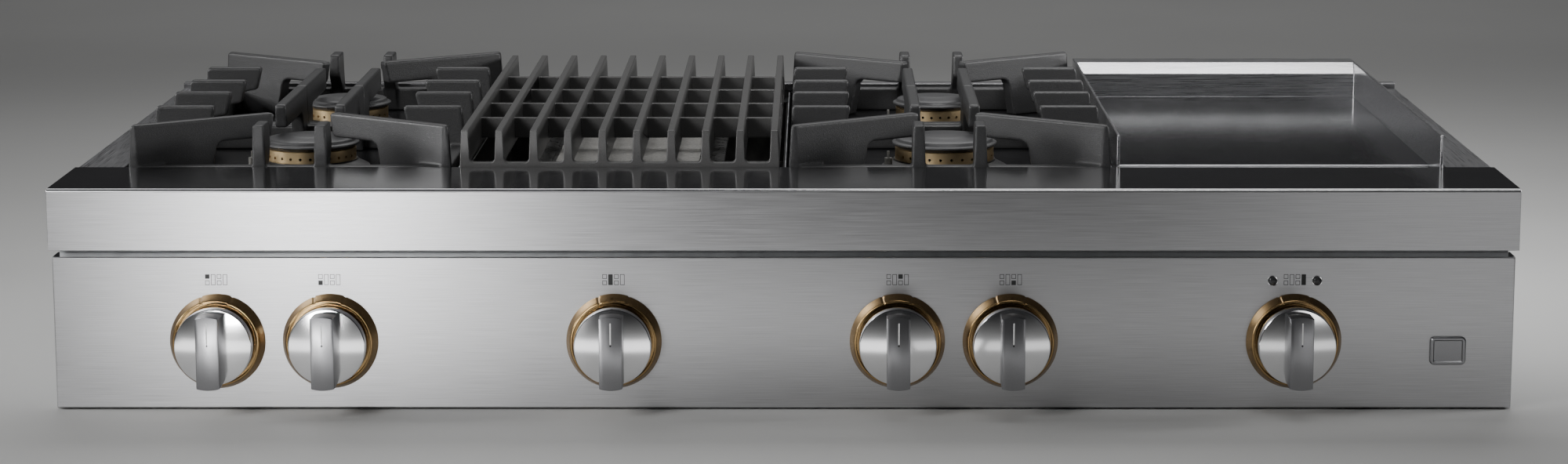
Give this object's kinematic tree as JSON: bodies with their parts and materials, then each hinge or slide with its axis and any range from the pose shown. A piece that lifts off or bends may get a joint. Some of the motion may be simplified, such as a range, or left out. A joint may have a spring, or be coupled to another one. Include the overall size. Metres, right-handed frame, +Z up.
{
  "type": "gas rangetop",
  "caption": "Wide gas rangetop with brushed steel front rail and control panel, ringed push-and-turn knobs, cast-iron burner grates, a bar grill over an infrared burner and a walled griddle.",
  "frame": {"origin": "centre of the base plate's underside, midway between the front rail's face and the rear trim's back", "axes": "+X to the right seen from the front, +Y from the front rail to the back, +Z up"},
  "size_m": [1.216, 0.7175, 0.2235],
  "materials": {
    "stainless_brushed": "stainless sheet brushed along X",
    "galvanised_sheet": "zinc-coated sheet steel, matte",
    "pan_black_enamel": "satin black enamelled steel",
    "liner_dark_steel": "dark enamelled steel",
    "guard_stainless": "fine brushed stainless sheet",
    "griddle_polished": "machined and polished steel plate, dark",
    "tray_stainless": "bent stainless sheet",
    "burner_base_alloy": "die-cast alloy, dull",
    "brass": "machined brass",
    "cap_black_enamel": "satin black enamelled cast iron",
    "igniter_ceramic": "white ceramic with a metal tip",
    "cast_iron_black": "black cast iron with fine sand texture",
    "grill_bar_iron": "cast iron, bar tops ground lighter",
    "burner_steel": "heat-darkened steel",
    "burner_screen": "perforated steel screen",
    "bezel_bronze": "brushed bronze ring",
    "chrome": "mirror chrome",
    "handle_satin_chrome": "satin chrome",
    "stem_steel": "turned steel",
    "gas_alloy": "die-cast alloy",
    "lens_smoked": "smoked translucent plastic",
    "gland_plastic": "black nylon"
  },
  "bodies": {
    "chassis": {"base_plate": "galvanised_sheet", "bulkhead": "galvanised_sheet", "burner_bases": "burner_base_alloy", "burner_cap_left_front": "cap_black_enamel", "burner_cap_left_rear": "cap_black_enamel", "burner_cap_right_front": "cap_black_enamel", "burner_cap_right_rear": "cap_black_enamel", "burner_ring_left_front": "brass", "burner_ring_left_rear": "brass", "burner_ring_right_front": "brass", "burner_ring_right_rear": "brass", "control_panel": "stainless_brushed", "cooktop_pan_left": "pan_black_enamel", "cooktop_pan_right": "pan_black_enamel", "cord_gland": "gland_plastic", "front_rail": "stainless_brushed", "gas_regulator": "gas_alloy", "griddle_burner": "burner_steel", "griddle_guard": "guard_stainless", "griddle_plate": "griddle_polished", "grill_burner": "burner_steel", "grill_liner": "liner_dark_steel", "grill_screen": "burner_screen", "igniters": "igniter_ceramic", "indicator_lenses": "lens_smoked", "knob_bezels": "bezel_bronze", "manifold_pipe": "gas_alloy", "module_dividers": "pan_black_enamel", "rear_panel": "galvanised_sheet", "rear_trim": "stainless_brushed", "screws": "galvanised_sheet", "side_panel_left": "galvanised_sheet", "side_panel_right": "galvanised_sheet", "side_trim_left": "stainless_brushed", "side_trim_right": "stainless_brushed", "valve_bodies": "gas_alloy"},
    "stem_1": {"valve_stem_1": "stem_steel"},
    "knob_1": {"knob_dial_1": "chrome", "knob_handle_1": "handle_satin_chrome"},
    "stem_2": {"valve_stem_2": "stem_steel"},
    "knob_2": {"knob_dial_2": "chrome", "knob_handle_2": "handle_satin_chrome"},
    "stem_3": {"valve_stem_3": "stem_steel"},
    "knob_3": {"knob_dial_3": "chrome", "knob_handle_3": "handle_satin_chrome"},
    "stem_4": {"valve_stem_4": "stem_steel"},
    "knob_4": {"knob_dial_4": "chrome", "knob_handle_4": "handle_satin_chrome"},
    "stem_5": {"valve_stem_5": "stem_steel"},
    "knob_5": {"knob_dial_5": "chrome", "knob_handle_5": "handle_satin_chrome"},
    "stem_6": {"valve_stem_6": "stem_steel"},
    "knob_6": {"knob_dial_6": "chrome", "knob_handle_6": "handle_satin_chrome"},
    "grate_left_front": {"grate_left_front": "cast_iron_black"},
    "grate_left_rear": {"grate_left_rear": "cast_iron_black"},
    "grate_right_front": {"grate_right_front": "cast_iron_black"},
    "grate_right_rear": {"grate_right_rear": "cast_iron_black"},
    "grill_grate": {"grill_grate": "grill_bar_iron"},
    "grease_tray": {"grease_tray": "tray_stainless"}
  },
  "joints": [
    {"name": "knob_1_turn", "type": "hinge", "parent": "chassis", "child": "stem_1", "pos_m": [-0.4715, 0, 0.058], "axis": [0, -1, 0], "range_deg": [0, 240]},
    {"name": "knob_1_push", "type": "slide", "parent": "stem_1", "child": "knob_1", "axis": [0, 1, 0], "range_m": [0, 0.003], "stiffness_N_per_m": 1500, "springref_m": -0.002},
    {"name": "knob_2_turn", "type": "hinge", "parent": "chassis", "child": "stem_2", "pos_m": [-0.3775, 0, 0.058], "axis": [0, -1, 0], "range_deg": [0, 240]},
    {"name": "knob_2_push", "type": "slide", "parent": "stem_2", "child": "knob_2", "axis": [0, 1, 0], "range_m": [0, 0.003], "stiffness_N_per_m": 1500, "springref_m": -0.002},
    {"name": "knob_3_turn", "type": "hinge", "parent": "chassis", "child": "stem_3", "pos_m": [-0.1415, 0, 0.058], "axis": [0, -1, 0], "range_deg": [0, 240]},
    {"name": "knob_3_push", "type": "slide", "parent": "stem_3", "child": "knob_3", "axis": [0, 1, 0], "range_m": [0, 0.003], "stiffness_N_per_m": 1500, "springref_m": -0.002},
    {"name": "knob_4_turn", "type": "hinge", "parent": "chassis", "child": "stem_4", "pos_m": [0.0945, 0, 0.058], "axis": [0, -1, 0], "range_deg": [0, 240]},
    {"name": "knob_4_push", "type": "slide", "parent": "stem_4", "child": "knob_4", "axis": [0, 1, 0], "range_m": [0, 0.003], "stiffness_N_per_m": 1500, "springref_m": -0.002},
    {"name": "knob_5_turn", "type": "hinge", "parent": "chassis", "child": "stem_5", "pos_m": [0.1885, 0, 0.058], "axis": [0, -1, 0], "range_deg": [0, 240]},
    {"name": "knob_5_push", "type": "slide", "parent": "stem_5", "child": "knob_5", "axis": [0, 1, 0], "range_m": [0, 0.003], "stiffness_N_per_m": 1500, "springref_m": -0.002},
    {"name": "knob_6_turn", "type": "hinge", "parent": "chassis", "child": "stem_6", "pos_m": [0.4245, 0, 0.058], "axis": [0, -1, 0], "range_deg": [0, 240]},
    {"name": "knob_6_push", "type": "slide", "parent": "stem_6", "child": "knob_6", "axis": [0, 1, 0], "range_m": [0, 0.003], "stiffness_N_per_m": 1500, "springref_m": -0.002},
    {"name": "grate_left_front_lift", "type": "slide", "parent": "chassis", "child": "grate_left_front", "axis": [0, 0, 1], "range_m": [0, 0.1]},
    {"name": "grate_left_rear_lift", "type": "slide", "parent": "chassis", "child": "grate_left_rear", "axis": [0, 0, 1], "range_m": [0, 0.1]},
    {"name": "grate_right_front_lift", "type": "slide", "parent": "chassis", "child": "grate_right_front", "axis": [0, 0, 1], "range_m": [0, 0.1]},
    {"name": "grate_right_rear_lift", "type": "slide", "parent": "chassis", "child": "grate_right_rear", "axis": [0, 0, 1], "range_m": [0, 0.1]},
    {"name": "grill_grate_lift", "type": "slide", "parent": "chassis", "child": "grill_grate", "axis": [0, 0, 1], "range_m": [0, 0.1]},
    {"name": "grease_tray_lift", "type": "slide", "parent": "chassis", "child": "grease_tray", "axis": [0, 0, 1], "range_m": [0, 0.1]}
  ]
}
